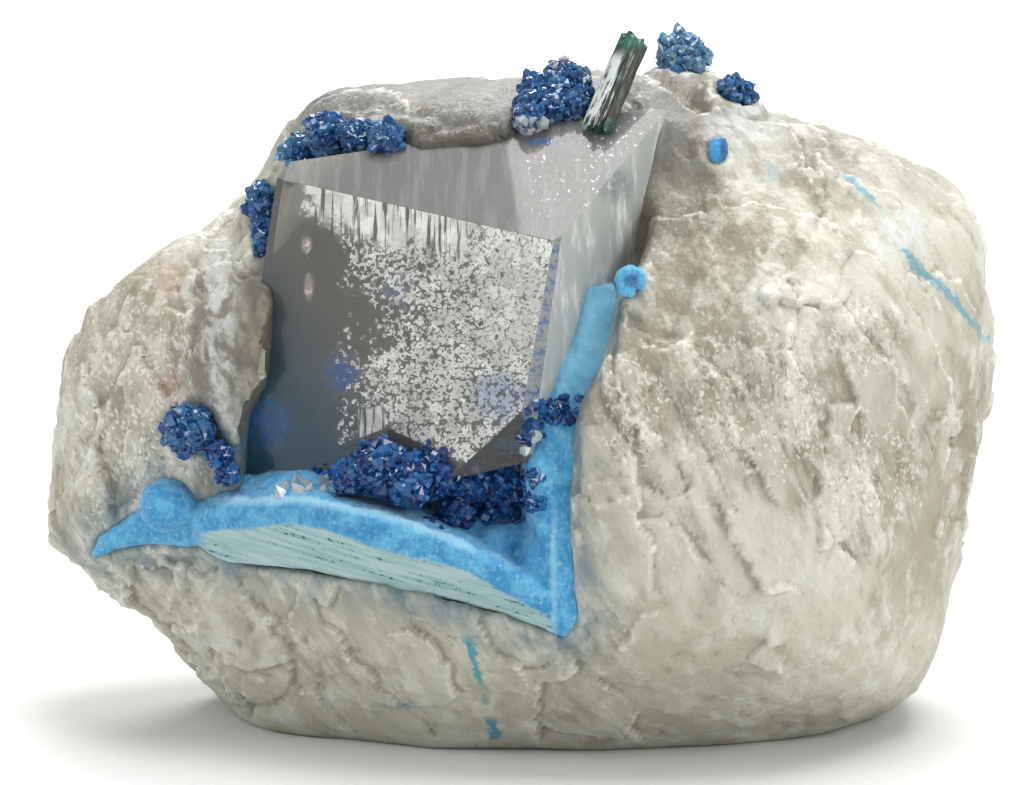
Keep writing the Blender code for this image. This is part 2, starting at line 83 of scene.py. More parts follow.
# The stage: white paper that runs on far behind the specimen, one big soft lamp overhead, one at
# each side, one for the paper behind it, and the white walls of the tent round it.
class Value:
    """A number, colour or vector on its way through a material; sums on it add Math nodes."""

    def __init__(self, tree, socket):
        self.tree = tree
        self.socket = socket

    def sum(self, operation, first, second):
        node = self.tree.nodes.new("ShaderNodeMath")
        node.operation = operation
        for slot, item in zip(node.inputs, (first, second)):
            if isinstance(item, Value):
                self.tree.links.new(item.socket, slot)
            else:
                slot.default_value = item
        return Value(self.tree, node.outputs[0])

    def __add__(self, other):
        return self.sum("ADD", self, other)

    def __radd__(self, other):
        return self.sum("ADD", other, self)

    def __sub__(self, other):
        return self.sum("SUBTRACT", self, other)

    def __rsub__(self, other):
        return self.sum("SUBTRACT", other, self)

    def __mul__(self, other):
        return self.sum("MULTIPLY", self, other)

    def __rmul__(self, other):
        return self.sum("MULTIPLY", other, self)

    def __truediv__(self, other):
        return self.sum("DIVIDE", self, other)

    def __abs__(self):
        return self.sum("ABSOLUTE", self, 0.0)

    def most(self, other):
        return self.sum("MAXIMUM", self, other)

    def least(self, other):
        return self.sum("MINIMUM", self, other)

    def power(self, other):
        return self.sum("POWER", self, other)


class Finish:
    """A material under way: its node tree, and the nodes that most finishes need."""

    def __init__(self, name):
        self.material = bpy.data.materials.new(name)
        self.material.use_nodes = True
        self.tree = self.material.node_tree
        self.skin = self.tree.nodes["Principled BSDF"]
        self.end = self.tree.nodes["Material Output"]

    def node(self, kind, settings, inputs, out=0):
        made = self.tree.nodes.new("ShaderNode" + kind)
        for name, setting in settings.items():
            setattr(made, name, setting)
        for name, item in inputs.items():
            if isinstance(item, Value):
                self.tree.links.new(item.socket, made.inputs[name])
            else:
                made.inputs[name].default_value = item
        return Value(self.tree, made.outputs[out])

    def place(self, stretch=(1.0, 1.0, 1.0), turn=(0.0, 0.0, 0.0)):
        """The point on the piece in millimetres; what is drawn there is stretched along turned axes."""
        point = self.node("TexCoord", {}, {}, "Object")
        size = [share / 1000.0 for share in stretch]
        return self.node("Mapping", {"vector_type": "TEXTURE"},
                         {"Vector": point, "Scale": size, "Rotation": turn})

    def attribute(self, name, out="Fac"):
        return self.node("Attribute", {"attribute_name": name}, {}, out)

    def face(self):
        """Where the piece shows on the display face: right and up in millimetres."""
        self.right, self.up, self.deep = self.parts(self.attribute("display_face", "Vector"))
        return self.right, self.up

    def patch(self, centre, reach):
        """1 at the middle of an oval patch of the display face, falling to 0 at its edge."""
        across = (self.right - centre[0]) / reach[0]
        tall = (self.up - centre[1]) / reach[1]
        return self.step(1.0 - (across * across + tall * tall), 0.0, 1.0)

    def parts(self, vector):
        split = self.node("SeparateXYZ", {}, {"Vector": vector}).socket.node
        return [Value(self.tree, output) for output in split.outputs]

    def vectors(self, operation, first, second):
        return self.node("VectorMath", {"operation": operation}, {0: first, 1: second})

    def noise(self, at, size, detail=2.0, roughness=0.5):
        """Cloudy noise with features of this size in millimetres, from 0 to 1."""
        return self.node("TexNoise", {}, {
            "Vector": at, "Scale": 1.0 / size, "Detail": detail, "Roughness": roughness})

    def warped(self, at, size, reach):
        """The same point pushed about by noise."""
        cloud = self.node("TexNoise", {}, {"Vector": at, "Scale": 1.0 / size, "Detail": 1.0}, "Color")
        push = self.vectors("SUBTRACT", cloud, (0.5, 0.5, 0.5))
        push = self.node("VectorMath", {"operation": "SCALE"}, {0: push, "Scale": reach * 2.0})
        return self.vectors("ADD", at, push)

    def step(self, value, low, high):
        """0 where the value is at low or past it, 1 at high, and a soft slope between."""
        return self.node("MapRange", {"interpolation_type": "SMOOTHSTEP"},
                         {"Value": value, "From Min": low, "From Max": high})

    def mix(self, share, first, second):
        """The first colour where the share is 0 and the second where it is 1."""
        first, second = [item if isinstance(item, Value) else (*item, 1.0) for item in (first, second)]
        return self.node("Mix", {"data_type": "RGBA"}, {0: share, 6: first, 7: second}, 2)

    def facets(self, at, size):
        """Little flat breaks of this size, each tilted its own way: their height, and a tone for each."""
        cells = self.node("TexVoronoi", {}, {"Vector": at, "Scale": 1.0 / size}, "Color")
        spot = Value(self.tree, cells.socket.node.outputs["Position"])
        middle = self.node("VectorMath", {"operation": "SCALE"}, {0: spot, "Scale": size})
        tilt = self.vectors("SUBTRACT", cells, (0.5, 0.5, 0.5))
        lean = self.vectors("DOT_PRODUCT", self.vectors("SUBTRACT", at, middle), tilt)
        return Value(self.tree, lean.socket.node.outputs["Value"]) / size, self.parts(cells)[0]

    def bump(self, height, depth):
        """A dent of this depth in millimetres where the height is 0, none where it is 1."""
        return self.node("Bump", {}, {"Height": height, "Distance": depth / 1000.0, "Strength": 1.0})

    def wear(self, **sockets):
        """Sets sockets of the finish by name; underscores stand for spaces."""
        for name, item in sockets.items():
            slot = self.skin.inputs[name.replace("_", " ")]
            if isinstance(item, Value):
                self.tree.links.new(item.socket, slot)
            elif isinstance(item, tuple):
                slot.default_value = (*item, 1.0)
            else:
                slot.default_value = item
        return self.material


bpy.ops.object.select_all(action="DESELECT")
bpy.ops.mesh.primitive_plane_add(size=4.0, location=(0, 1.0, 0))
paper = bpy.context.object
paper.name = "Paper"
white = Finish("White paper")
paper.data.materials.append(white.wear(Base_Color=(0.80, 0.81, 0.80), Roughness=0.9))

world = bpy.context.scene.world or bpy.data.worlds.new("Tent")
bpy.context.scene.world = world
world.use_nodes = True
backdrop = world.node_tree.nodes["Background"].inputs
backdrop["Color"].default_value = (1.0, 1.0, 1.0, 1.0)
backdrop["Strength"].default_value = 0.44
bpy.context.scene.view_settings.view_transform = "Standard"
cycles = bpy.context.scene.cycles
cycles.max_bounces = cycles.transmission_bounces = 6
cycles.diffuse_bounces = cycles.glossy_bounces = 2

for name, place, size, power, colour in (
        ("Lamp above", (0.06, 0.00, 0.42), 0.26, 1.45, (1.0, 0.99, 0.97)),
        ("Lamp left", (-0.40, -0.14, 0.26), 0.18, 0.42, (1.0, 1.0, 1.0)),
        ("Lamp right", (0.36, -0.22, 0.22), 0.20, 0.70, (1.0, 0.98, 0.95)),
        ("Lamp behind", (0.0, 0.60, 0.50), 0.50, 7.0, (1.0, 1.0, 1.0))):
    bpy.ops.object.light_add(type="AREA", location=place)
    lamp = bpy.context.object
    lamp.name = name
    lamp.data.shape = "SQUARE"
    lamp.data.size = size
    lamp.data.energy = power
    lamp.data.color = colour
    target = Vector((0.0, 0.0, 0.02)) if name != "Lamp behind" else Vector((0.0, 0.75, 0.0))
    lamp.rotation_euler = (target - Vector(place)).to_track_quat("-Z", "Y").to_euler()

# The lump: milky quartz, broken out of its vein. Its face is sharp chips and flakes, sugary where
# the grains show and smoky grey-brown where the milk thins out. Two turquoise veins cross it.


def take_over(node, name):
    """A copy of a CAD node with its loose triangles merged, as the start of a new piece."""
    bpy.ops.object.select_all(action="DESELECT")
    piece = frame["nodes"][node].copy()
    piece.data = piece.data.copy()
    piece.name = name
    piece.parent = None
    for key in list(piece.keys()):
        del piece[key]
    bpy.context.scene.collection.objects.link(piece)
    piece.data.materials.clear()
    piece.select_set(True)
    bpy.context.view_layer.objects.active = piece
    bpy.ops.object.mode_set(mode="EDIT")
    bpy.ops.mesh.select_all(action="SELECT")
    bpy.ops.mesh.remove_doubles(threshold=1e-6)
    bpy.ops.object.mode_set(mode="OBJECT")
    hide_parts(node)
    return piece


def swell(reach, even=True):
    """Pushes the active piece's whole skin out by so many metres, or in where they are negative."""
    bpy.ops.object.mode_set(mode="EDIT")
    bpy.ops.mesh.select_all(action="SELECT")
    bpy.ops.transform.shrink_fatten(value=reach, use_even_offset=even)
    bpy.ops.object.mode_set(mode="OBJECT")


def modify(piece, kind, **settings):
    """Adds a modifier to the piece and applies it."""
    bpy.context.view_layer.objects.active = piece
    modifier = piece.modifiers.new(kind.title(), kind)
    for name, setting in settings.items():
        setattr(modifier, name, setting)
    bpy.ops.object.modifier_apply(modifier=modifier.name)


def dress(piece, finish):
    """Gives the piece its finish and its body."""
    piece.data.materials.clear()
    piece.data.materials.append(finish)
    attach(piece, "root")


def corners_of(piece):
    """The places of a piece's corners, in millimetres, and the ways they face."""
    places = np.empty(len(piece.data.vertices) * 3, np.float32)
    facings = np.empty_like(places)
    piece.data.vertices.foreach_get("co", places)
    piece.data.vertices.foreach_get("normal", facings)
    return places.reshape(-1, 3).astype(float) * 1000, facings.reshape(-1, 3).astype(float)


def move_corners(piece, places):
    piece.data.vertices.foreach_set("co", (places / 1000).astype(np.float32).ravel())
    piece.data.update()


def jot(piece, name, values):
    """Keeps a number or a vector at every corner of the piece, for its finish to read."""
    kind, field = ("FLOAT_VECTOR", "vector") if np.ndim(values) == 2 else ("FLOAT", "value")
    notes = piece.data.attributes.new(name, kind, "POINT")
    notes.data.foreach_set(field, np.asarray(values, np.float32).ravel())


def shown(places):
    """Where places in millimetres show on the display face, and their depth: one row for each."""
    lines = places - np.array(EYE)
    reach = FAR / (lines @ np.array(SIGHT))
    return np.column_stack((
        lines[:, 0] * reach, lines @ np.array(RISE) * reach + AIM_HEIGHT, places[:, 1] - MOVED.y))


def ease(low, high, value):
    """0 up to the low value, 1 from the high one on, and a soft slope between."""
    share = np.clip((value - low) / (high - low), 0.0, 1.0)
    return share * share * (3 - 2 * share)


def clouds(places, size, shift=0.0):
    """Cloudy noise at each place, from -1 to 1, with features of this size in millimetres."""
    return np.array([noise.noise(Vector(place)) for place in (places / size + shift).tolist()])


def gap_to(places, nodes, most):
    """How far each place is from these CAD nodes, in millimetres, and at most this far."""
    corners, faces = [], []
    for node in nodes:
        mesh = frame["nodes"][node].data
        faces += [[index + len(corners) for index in face.vertices] for face in mesh.polygons]
        corners += [vert.co * 1000 for vert in mesh.vertices]
    tree = BVHTree.FromPolygons(corners, faces)
    found = [tree.find_nearest(Vector(place), most)[3] for place in places.tolist()]
    return np.array([most if gap is None else gap for gap in found])


LUMP_GRAIN = 0.00056
SHOWN_SIDE = -0.30  # how far a face has to turn to the front to get the finer mesh
lump = take_over("quartz_matrix", "quartz_lump")
modify(lump, "REMESH", mode="VOXEL", voxel_size=LUMP_GRAIN, use_smooth_shade=True)
modify(lump, "SMOOTH", factor=0.5, iterations=4)
bpy.context.tool_settings.mesh_select_mode = (False, False, True)
bpy.ops.object.mode_set(mode="EDIT")
bpy.ops.mesh.select_all(action="DESELECT")
bpy.ops.object.mode_set(mode="OBJECT")
for face in lump.data.polygons:
    face.select = face.normal.y < SHOWN_SIDE
bpy.ops.object.mode_set(mode="EDIT")
bpy.ops.mesh.subdivide(number_cuts=1)
bpy.ops.object.mode_set(mode="OBJECT")

# The flakes' sharp edges on the lump's display face: along each the side to the right of the line,
# or above it, stands up by so much and falls away again over so many millimetres.
FLAKES = [
    (0.55, 2.5, [(17.2, 33.0), (17.6, 31.9), (20.2, 31.6), (22.6, 31.6), (24.5, 33.0)]),
    (0.40, 2.0, [(19.0, 31.3), (19.0, 29.2), (19.0, 26.5), (18.4, 24.9), (19.0, 21.8), (19.7, 21.1)]),
    (0.55, 3.0, [(22.8, 29.5), (23.3, 26.8), (24.0, 24.7), (22.4, 24.9), (22.1, 22.5), (21.1, 21.5)]),
    (0.50, 2.5, [(21.1, 21.5), (21.4, 19.4), (21.1, 17.7), (21.4, 14.7), (22.4, 14.4)]),
    (0.50, 1.2, [(7.2, 29.0), (7.4, 24.7), (9.0, 22.2), (10.4, 21.1)]),
    (0.55, 1.5, [(14.4, 24.7), (15.5, 21.8), (17.2, 20.6), (17.8, 19.2), (18.7, 17.2)]),
    (0.50, 2.2, [(14.2, 18.3), (15.3, 16.3), (15.5, 15.1), (16.5, 13.7), (17.6, 11.5), (20.7, 11.5)]),
    (0.45, 1.1, [(18.3, 9.7), (17.9, 8.1), (16.5, 7.0), (17.6, 6.3), (19.0, 6.1), (19.5, 7.5)]),
    (0.40, 0.9, [(10.6, 10.6), (9.0, 10.2), (7.9, 8.2), (7.0, 7.1)]),
    (0.35, 1.4, [(24.6, 30.9), (26.5, 27.1), (28.8, 23.7)]),
    (0.45, 1.5, [(-24.0, 9.0), (-21.5, 8.2), (-18.3, 6.2), (-14.8, 6.8)]),
    (0.35, 1.2, [(-27.5, 27.5), (-26.5, 24.0), (-27.5, 20.5)]),
    (0.35, 1.2, [(-22.5, 31.0), (-23.5, 27.0), (-22.5, 23.5)]),
]
# Two dips in the upper right rim: their middle, how wide and tall they are, and how deep.
DIPS = [((12.3, 47.2), (3.4, 2.2), 1.1), ((16.6, 46.0), (2.6, 2.0), 0.7)]
RUN = (0.42, 0.0, -0.91)  # the way in which the quartz on the right splits


def flake_edge(spots, rise, reach, line):
    """The height of one flake, sharp along its line and dying away beyond it."""
    nearest = np.full(len(spots), 99.0)
    side = np.zeros(len(spots))
    share = np.zeros(len(spots))
    total = len(line) - 1
    for index, (start, end) in enumerate(zip(line, line[1:])):
        step = np.subtract(end, start)
        off = spots - np.array(start)
        along = np.clip(off @ step / (step @ step), 0.0, 1.0)
        gap = np.hypot(*(off - along[:, None] * step).T)
        closer = gap < nearest
        across = step[0] * off[:, 1] - step[1] * off[:, 0]
        nearest[closer] = gap[closer]
        side[closer] = np.sign(across[closer])
        share[closer] = ((index + along) / total)[closer]
    signed = nearest * side
    ends = ease(0.0, 0.18, share) * ease(1.0, 0.82, share)
    return rise * ends * ease(-0.12, 0.12, signed) * np.exp(-np.maximum(signed, 0.0) / reach)


def terraces(places, lie, run, width, ragged, shift):
    """Overlapping flakes across this lie: each rises in a ragged step and falls away slowly."""
    drawn_out = places - 0.72 * (places @ np.array(run))[:, None] * np.array(run)
    phase = places @ np.array(lie) / width + clouds(drawn_out, width * 1.3, shift) * ragged
    phase += clouds(drawn_out, width * 0.4, shift + 9.0) * ragged * 0.25
    share = phase % 1.0
    return np.where(share < 0.88, share / 0.88, (1.0 - share) / 0.12) - 0.5


def breaks(places, size, slope):
    """Flat breaks of about this size, each tilted its own way: their height, and a tone for each."""
    found = np.empty((len(places), 2))
    for index, place in enumerate((places / size).tolist()):
        middle = noise.voronoi(place)[1][0]
        tilt = noise.cell_vector(middle)
        found[index] = (Vector(place) - middle).dot(tilt), tilt.x
    return found[:, 0] * size * slope, found[:, 1]


places, facings = corners_of(lump)
spots = shown(places)
split = places - 0.40 * (places @ np.array(RUN))[:, None] * np.array(RUN)
split += np.column_stack([clouds(places, 2.0, shift) * 0.7 for shift in (81.0, 83.0, 87.0)])
wide_break, wide_tone = breaks(split, 5.2, 0.11)
small_break, small_tone = breaks(split, 1.9, 0.13)
others = [node for node in frame["nodes"] if node != "quartz_matrix"]
to_rhomb = gap_to(places, ["clear_crystal"], 6.0)
to_lining = gap_to(places, ["shattuckite_lining", "left_dark_patch", "druse_crust"], 5.0)
to_others = gap_to(places, [node for node in others if node != "clear_crystal"], 3.0)
room = ease(0.25, 1.6, np.minimum(to_others, to_rhomb)) * ease(0.0, 1.5, places[:, 2])
on_right = ease(1.0, 7.0, spots[:, 0])
on_left = ease(-15.0, -19.0, spots[:, 0])
calm = 1.0 - 0.75 * ease(6.0, 13.0, spots[:, 0]) * ease(15.0, 9.0, spots[:, 1])
smoke = np.exp(-((spots[:, 0] - 12.5) / 6.0) ** 2 - ((spots[:, 1] - 36.0) / 5.0) ** 2)
gate = ease(-0.15, 0.35, clouds(places, 5.0, 31.0))
relief = 0.36 * clouds(places, 6.5, 3.0) + 0.14 * clouds(places, 2.4, 5.0)
relief += on_right * gate * calm * (1.0 - smoke) * (
    0.50 * terraces(places, (-0.90, -0.10, -0.42), RUN, 5.2, 0.85, 11.0)
    + 0.26 * terraces(places, (-0.88, 0.20, -0.44), RUN, 1.9, 0.9, 17.0))
relief += on_left * (
    0.40 * terraces(places, (-0.85, -0.10, 0.50), (0.5, 0.0, 0.87), 4.4, 0.9, 41.0)
    + 0.20 * terraces(places, (-0.90, 0.10, 0.40), (0.4, 0.0, 0.92), 1.6, 0.9, 47.0)
    + 0.08 * clouds(places, 0.8, 51.0))
relief += (1.0 - np.maximum(on_right, on_left)) * 0.16 * gate * terraces(
    places, (0.3, 0.2, -0.9), (0.9, 0.0, 0.42), 2.6, 0.8, 61.0)
relief += calm * (wide_break * (1.0 - 0.5 * smoke) + small_break * gate) + 0.05 * clouds(places, 0.7, 7.0)
ragged_spots = spots[:, :2] + np.column_stack((clouds(places, 1.0, 71.0), clouds(places, 1.0, 75.0))) * 0.45
facing_us = ease(0.05, -0.35, facings[:, 1])
for (right, up), (across, tall), depth in DIPS:
    relief -= depth * np.exp(-((spots[:, 0] - right) / across) ** 2 - ((spots[:, 1] - up) / tall) ** 2)
flake = sum(facing_us * flake_edge(ragged_spots, rise, reach, line) for rise, reach, line in FLAKES)
relief = (relief + flake) * room + 0.45 * ease(1.4, 0.4, np.minimum(to_others, to_rhomb))
# How far each corner stands over those round it: its crests get a painted highlight, its dents painted
# shade.
links = np.empty(len(lump.data.edges) * 2, np.int32)
lump.data.edges.foreach_get("vertices", links)
links = links.reshape(-1, 2)
both = np.concatenate((links, links[:, ::-1]))
counts = np.bincount(both[:, 0], minlength=len(places))
level = relief
for _ in range(4):
    level = np.bincount(both[:, 0], level[both[:, 1]], len(places)) / counts
move_corners(lump, places + facings * relief[:, None])
jot(lump, "display_face", spots)
jot(lump, "crest", relief - level)
jot(lump, "flake", flake)
jot(lump, "plane", small_tone * 0.6 + wide_tone * 0.4)
jot(lump, "milk", 0.5 + 0.55 * clouds(split, 6.0, 91.0) + 0.30 * clouds(split, 2.6, 93.0))
jot(lump, "hollow", ease(3.2, 0.6, to_rhomb))
jot(lump, "stain", ease(4.0, 0.3, to_lining))

quartz = Finish("Milky quartz")
point = quartz.place()
right, up = quartz.face()
crest, flake, hollow, stain, plane, wide_clouds = [
    quartz.attribute(name) for name in ("crest", "flake", "hollow", "stain", "plane", "milk")]

# The zones of the display face, made of patches: the middle, the reach and the strength of each.
ZONES = {
    "smoky": [
        ((13.0, 35.5), (10.5, 9.0), 1.0), ((27.5, 23.0), (8.0, 9.0), 0.75), ((10.0, 27.0), (6.0, 7.0), 0.6),
        ((-24.0, 29.0), (6.5, 7.0), 0.8), ((9.0, 5.0), (7.0, 5.0), 0.5), ((28.0, 14.0), (5.0, 6.0), 0.5)],
    "milky": [
        ((21.0, 32.5), (6.0, 3.5), 1.0), ((19.5, 13.0), (9.0, 6.5), 0.9), ((29.0, 37.5), (6.0, 6.0), 0.9),
        ((-24.0, 35.5), (6.0, 4.0), 0.7), ((12.0, 14.0), (7.0, 8.0), 0.5), ((17.0, 43.0), (3.5, 4.5), 1.0)],
    "sugary": [
        ((16.5, 25.0), (8.0, 8.0), 1.0), ((25.0, 20.0), (6.0, 6.0), 0.8), ((24.0, 29.5), (5.0, 4.0), 0.8),
        ((8.5, 24.0), (3.5, 6.0), 1.0), ((13.0, 34.0), (8.0, 8.0), 0.45), ((-26.0, 24.0), (9.0, 14.0), 0.8)],
    "glassy": [
        ((-6.0, 46.5), (15.0, 5.0), 1.4), ((8.0, 45.0), (8.0, 6.5), 1.3), ((10.0, 39.0), (5.0, 5.0), 0.5)],
}
zones = {}
for name, patches in ZONES.items():
    for centre, reach, most in patches:
        spread = quartz.patch(centre, reach) * most
        zones[name] = zones[name].most(spread) if name in zones else spread
smoky, milky, sugary, glassy = zones.values()
drawn_out = quartz.place((1.0, 1.0, 2.2), (0.0, -0.43, 0.0))
wisps = quartz.noise(drawn_out, 1.5, 4.0, 0.62)
grains = quartz.noise(point, 0.5, 3.0, 0.6)
split = quartz.warped(quartz.place((1.0, 1.0, 1.6), (0.0, -0.43, 0.0)), 0.9, 0.35)
sugar, chip = quartz.facets(split, 0.19)
milk = quartz.step(wide_clouds * 0.6 + wisps * 0.5 + plane * 0.18 - smoky * 0.28 + milky * 0.30, 0.35, 0.85)
colour = quartz.mix(milk, (0.37, 0.34, 0.255), (0.60, 0.595, 0.50))
colour = quartz.mix(quartz.step(up, 17.0, 5.0) * 0.55, colour, (0.58, 0.575, 0.465))
# Painted shade: higher up, where the lamp above lights the lump most, it is painted darker.
colour = quartz.mix(quartz.step(up, 37.0, 45.0) * 0.65, colour, (0.31, 0.31, 0.28))
veil = quartz.step(wisps + plane * 0.34 + milky * 0.05, 0.62, 0.90)
colour = quartz.mix(veil * 0.45, colour, (0.78, 0.78, 0.71))
colour = quartz.mix(glassy.least(1.0) * (0.80 - milky * 0.4), colour, (0.145, 0.145, 0.135))
murk = quartz.step(wisps + grains * 0.2 - plane * 0.22, 0.46, 0.26)
colour = quartz.mix(murk * (0.35 + smoky * 0.3), colour, (0.27, 0.235, 0.165))
# Painted highlight on the crests, broken up by the grains, and painted shade in the dents.
crest_highlight = quartz.step(crest, 0.04, 0.20) * quartz.step(grains + wisps, 0.75, 1.15)
dent_shade = quartz.step(crest, -0.03, -0.16)
# Painted highlight: the raised side of each flake's edge is painted lighter.
colour = quartz.mix(quartz.step(flake, 0.03, 0.40) * 0.45, colour, (0.74, 0.73, 0.66))
colour = quartz.mix(dent_shade * 0.5, colour, (0.26, 0.225, 0.155))
# Painted glints: the sugary grains of one tilt are painted to sparkle white.
painted_glints = quartz.step(chip, 0.66, 0.92) * quartz.step(sugary + (wisps - 0.5) * 2.2, 0.30, 0.80)
# All the painted highlights, of crests and glints, in one mask.
white = (crest_highlight * 0.65).most(painted_glints * 0.62)
colour = quartz.mix(white, colour, (0.92, 0.91, 0.85))
# Painted shade: the sugary grains of the opposite tilt are painted dark.
colour = quartz.mix(quartz.step(chip, 0.07, 0.03) * sugary * 0.6, colour, (0.22, 0.17, 0.11))
dim = quartz.patch((-20.5, 29.0), (3.4, 9.5)) * quartz.step(wisps, 0.56, 0.42)
colour = quartz.mix(dim * 0.75, colour, (0.17, 0.165, 0.15))
frosty = quartz.patch((-20.5, 30.5), (1.6, 8.0)).most(quartz.patch((15.8, 44.2), (2.6, 2.6)))
frosty = frosty.most(quartz.patch((27.5, 36.8), (3.0, 2.4)))
colour = quartz.mix(frosty * quartz.step(wisps, 0.40, 0.60) * 0.6, colour, (0.72, 0.76, 0.80))
ochre = quartz.patch((-24.0, 33.4), (1.5, 1.6)).most(quartz.patch((-24.0, 26.2), (0.9, 1.4)))
colour = quartz.mix(ochre * grains * 0.8, colour, (0.50, 0.30, 0.22))
# Painted shade: the quartz close round the rhomb is painted near-black, as the dark of the hollow seen
# through the clear crystal; weaker where it is frosty and on the right.
hollow_shade = hollow * (0.9 - frosty * 0.5) * (1.0 - quartz.step(right, 3.0, 6.0) * 0.8)
colour = quartz.mix(hollow_shade, colour, (0.085, 0.080, 0.062))
colour = quartz.mix(stain * quartz.step(wisps, 0.75, 0.25) * 0.8, colour, (0.09, 0.21, 0.30))
blur = (wisps - 0.5) + (grains - 0.5) * 0.6
# The veins: their low and top ends, half their width and how strong they are.
VEINS = (((-0.9, 0.6), (-3.0, 8.4), 0.16, 1.0), ((33.0, 29.2), (23.3, 40.9), 0.15, 0.8))
vein = None
for (low_right, low_up), (top_right, top_up), wide, strength in VEINS:
    lean = (top_right - low_right) / (top_up - low_up)
    off = abs(right - (up - low_up) * lean - low_right + blur * 1.6)
    along = quartz.step(up, low_up - 0.6, low_up + 0.4)
    along = along * (1.0 - quartz.step(up, top_up - 0.6, top_up + 0.4))
    gaps = quartz.step(wide_clouds, 0.40, 0.50)
    line = (1.0 - quartz.step(off, wide, wide + 0.35)) * along * gaps * strength
    vein = vein.most(line) if vein else line
smudges = quartz.patch((-7.2, 3.6), (2.6, 0.5)).most(quartz.patch((18.0, 40.8), (0.8, 1.3)))
vein = vein.most(smudges * 0.5 * quartz.step(grains, 0.4, 0.6))
vein = vein * (1.0 - quartz.step(quartz.deep, 2.0, 6.0))
colour = quartz.mix(vein * 0.9, colour, (0.05, 0.31, 0.43))
height = sugar * 0.06 + grains * 0.10
gloss = 0.46 - white * 0.16 + (grains - 0.5) * 0.2
dress(lump, quartz.wear(
    Base_Color=colour, Roughness=gloss, Normal=quartz.bump(height, 1.0), IOR=1.54))

# The rhomb: a clear quartz crystal grown over the hollow's floor, grey with the dark behind it. Its front is
# etched into a mosaic of frosted plates whose near-white is partly the frost and partly a painted reflection
# of the lamps; it is ribbed along the top edge, and its top is pitted, with painted glints.
rhomb = take_over("clear_crystal", "clear_quartz_rhomb")
bpy.ops.object.mode_set(mode="EDIT")
bpy.ops.mesh.select_all(action="SELECT")
bpy.ops.mesh.dissolve_limited(angle_limit=math.radians(0.5))
bpy.ops.object.mode_set(mode="OBJECT")
ROOM = 0.0003  # what the solids leave free round the crystal and the lining
swell(ROOM)
FACETS = {1.0: (-0.4, -0.9, 0.0), 2.0: (-0.1, -0.6, 0.8), 3.0: (0.8, -0.5, -0.2), 4.0: (0.6, -0.8, -0.2)}
SLIVER = 3e-6
kinds = rhomb.data.attributes.new("facet", "FLOAT", "FACE")
for kind, face in zip(kinds.data, rhomb.data.polygons):
    likeness = {number: face.normal.dot(Vector(side).normalized()) for number, side in FACETS.items()}
    nearest = max(likeness, key=likeness.get)
    if likeness[nearest] > 0.95 and face.area > SLIVER:
        kind.value = nearest
modify(rhomb, "BEVEL", width=0.00007, segments=2)
jot(rhomb, "display_face", shown(corners_of(rhomb)[0]))

clear = Finish("Clear quartz")
right, up = clear.face()
facet = clear.attribute("facet")
on_front, on_top, on_right, on_bevel = [clear.step(abs(facet - number), 0.5, 0.4) for number in FACETS]
flat = clear.node("CombineXYZ", {}, {"X": right, "Y": up})
cloud = clear.noise(flat, 2.2, 4.0, 0.6) - 0.5
chips = clear.noise(flat, 0.55, 4.0, 0.68)
below = (2.8 - right) * 0.217 + 36.0 - up
edge = -10.8 - 2.4 * clear.step(up, 34.5, 38.5)
plates = clear.step(right - edge + cloud * 5.0, -1.6, 2.2)
near_top = clear.step(below, 4.2, 1.0)
bright_side = clear.step(right, -3.2, -1.6) * clear.step(up, 26.0, 30.0)
low_edge = 23.2 - ((right + 8.6) * 0.5).most((right + 8.6) * -0.4)
plates = plates * clear.step(up - low_edge, -0.1, 0.1)
thin = clear.patch((-8.4, 30.6), (3.4, 3.8))
dense = clear.patch((-4.0, 27.5), (6.5, 8.0))
share = plates * 0.85 + near_top * 0.25 + bright_side * 0.30 + dense * 0.25 - thin * 0.50 + cloud * 0.9
angular = clear.warped(flat, 0.5, 0.10)
cell = clear.node("TexVoronoi", {"distance": "CHEBYCHEV"}, {"Vector": angular, "Scale": 3.4}, "Color")
cell = clear.parts(cell)[0]
seam = clear.node("TexVoronoi", {"feature": "DISTANCE_TO_EDGE"}, {"Vector": angular, "Scale": 2.6})
swirled = clear.warped(flat, 1.0, 0.5)
crack = clear.node("TexVoronoi", {"feature": "DISTANCE_TO_EDGE"}, {"Vector": swirled, "Scale": 0.62})
# The silvery plates: partly etched frost, partly a painted reflection of the lamps.
silver = clear.step(share - cell, -0.12, 0.12)
parted = clear.step(seam, 0.24, 0.06) * clear.step(chips, 0.48, 0.56) * (1.0 - bright_side * 0.6)
silver = silver * (1.0 - parted)
silver = silver * clear.step(chips, 0.36, 0.41)
silver = silver * (1.0 - clear.step(crack, 0.030, 0.010) * clear.step(chips, 0.47, 0.53) * 0.7)
ribs = clear.noise(clear.node("Mapping", {}, {"Vector": flat, "Scale": (2.6, 0.16, 1.0)}), 1.0, 3.0, 0.65)
ribbed = clear.step(below + cloud * 5.0, 3.4, 1.2) * clear.step(right, -2.4, -3.4)
low_ribs = clear.step(up, 24.8, 24.4) * clear.step(right, -8.5, -8.8) * clear.step(right, -10.7, -10.4)
ribbed = ribbed.most(low_ribs)
silver = silver + ribbed * (clear.step(ribs, 0.40, 0.50) - silver)
mosaic = on_front * clear.step(plates, 0.0, 0.2) * (silver * 0.86 + plates * 0.14)
glints = clear.step(clear.noise(flat, 0.34, 3.0, 0.65), 0.60, 0.66)
glints = glints * clear.step(clear.noise(flat, 3.0, 2.0) + (right - 1.0) * 0.05, 0.48, 0.70)
slanted = {"Vector": flat, "Scale": (1.5, 0.22, 1.0), "Rotation": (0.0, 0.0, 0.45)}
lines = clear.noise(clear.node("Mapping", {}, slanted), 1.0, 4.0, 0.6)
specks = clear.step(clear.noise(flat, 0.30, 3.0, 0.7), 0.62, 0.68)
